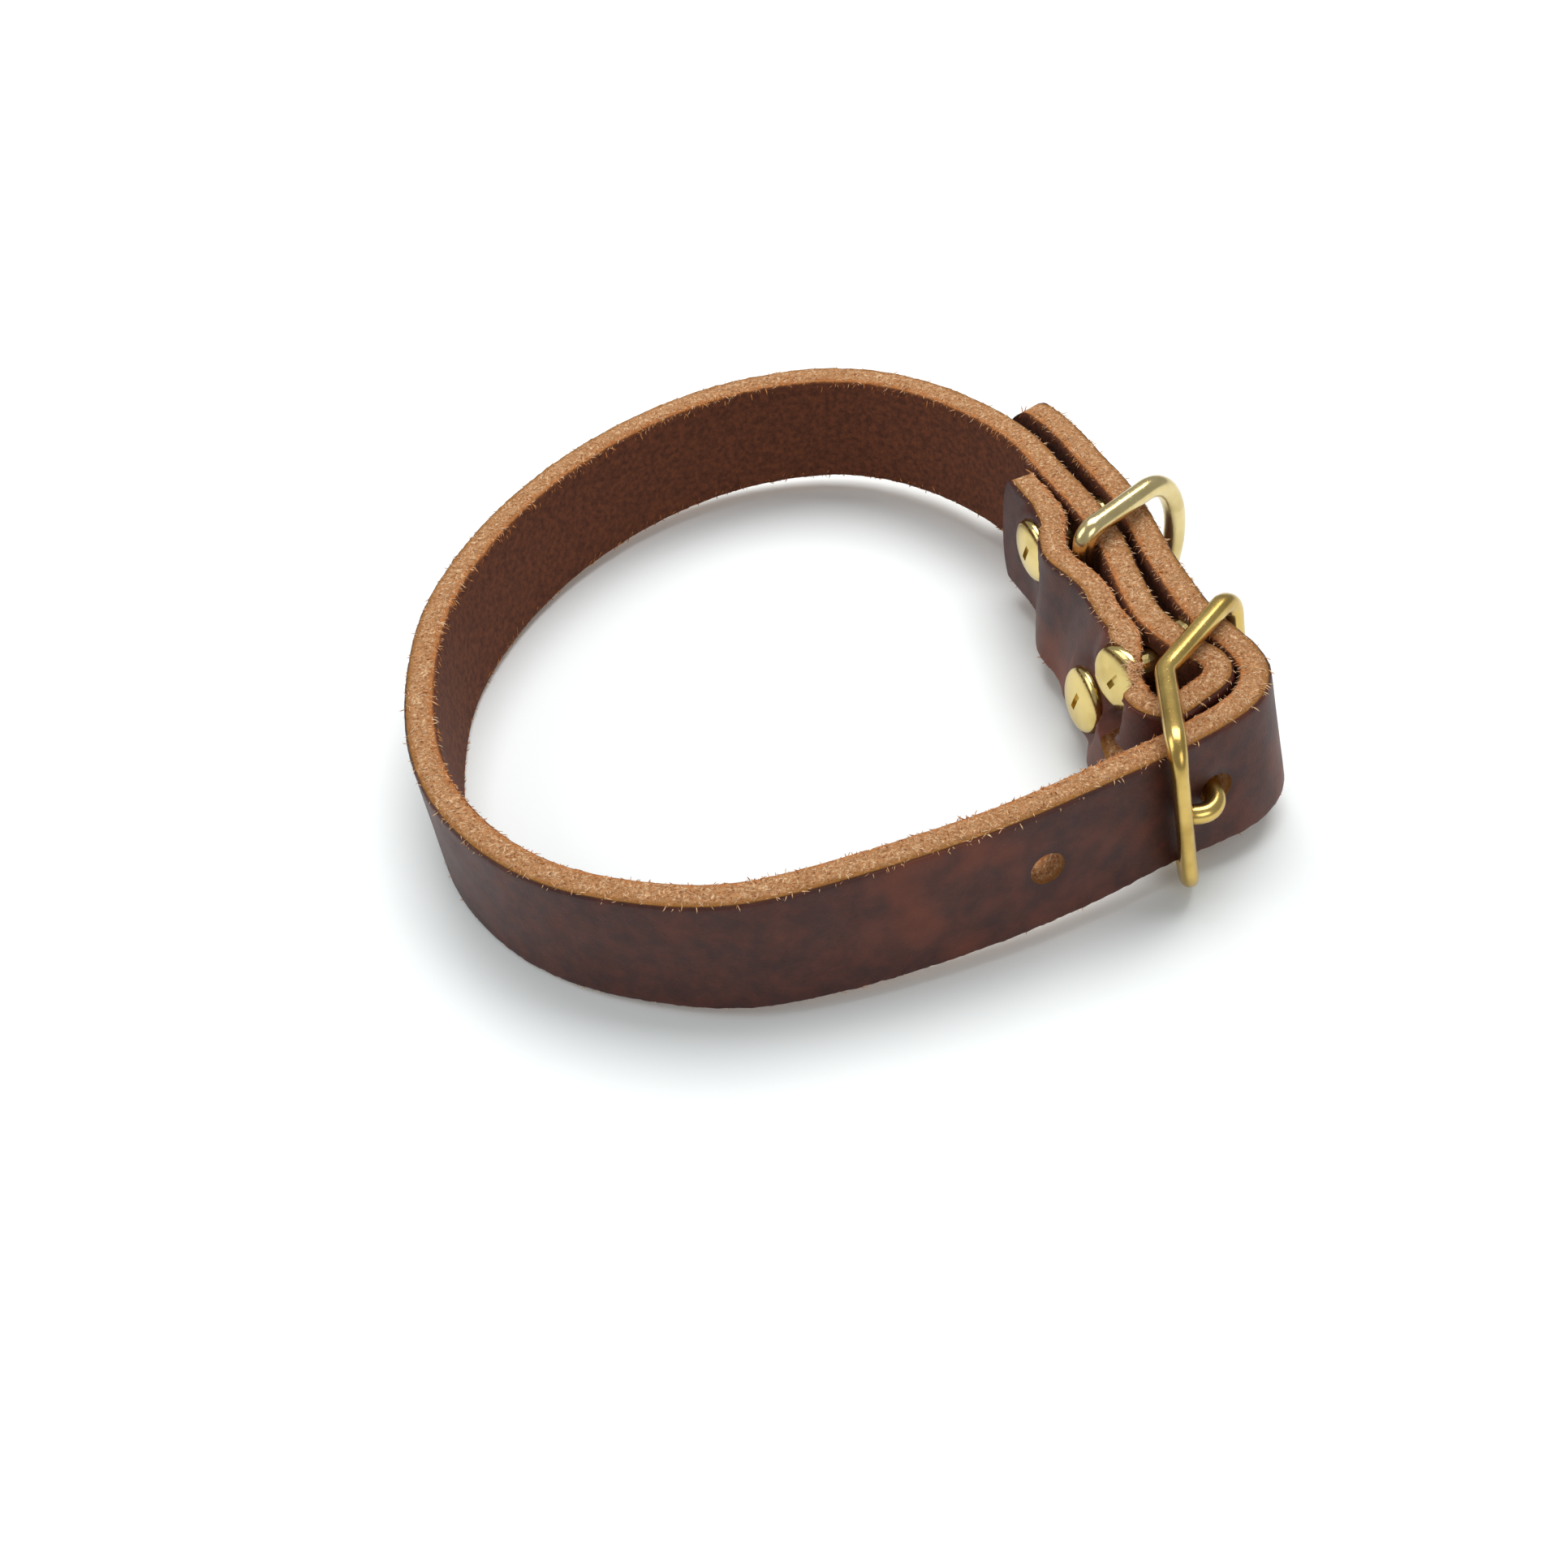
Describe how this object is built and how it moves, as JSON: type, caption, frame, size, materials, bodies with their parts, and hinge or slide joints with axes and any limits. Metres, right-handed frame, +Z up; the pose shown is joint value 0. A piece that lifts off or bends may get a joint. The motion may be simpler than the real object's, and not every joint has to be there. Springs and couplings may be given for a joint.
{
  "type": "dog collar",
  "caption": "Buckled leather dog collar: a strap folded and screwed round a brass centre bar buckle, with a brass D ring caught in the fold.",
  "frame": {"origin": "on the surface that the collar rests on, under the middle of its box", "axes": "+Z up from that surface, +X towards the buckle, +Y away from the collar's front"},
  "size_m": [0.1196, 0.1138, 0.0277],
  "materials": {
    "chestnut_leather": "oiled bridle leather, satin grain side, raw cut edges",
    "buckle_brass": "polished solid brass",
    "ring_brass": "polished solid brass, a little paler",
    "screw_brass": "bright polished brass"
  },
  "bodies": {
    "collar": {"strap": "chestnut_leather", "buckle_frame": "buckle_brass", "buckle_prong": "buckle_brass", "screw_1": "screw_brass", "screw_2": "screw_brass", "screw_3": "screw_brass", "post_1": "screw_brass", "post_2": "screw_brass", "post_3": "screw_brass"},
    "ring": {"d_ring": "ring_brass"}
  },
  "joints": [
    {"name": "ring_swing", "type": "hinge", "parent": "collar", "child": "ring", "pos_m": [0.03753, 0.00162, 0.01358], "axis": [-0.0407, -0.0074, 0.9991], "range_deg": [-67, 9]}
  ]
}
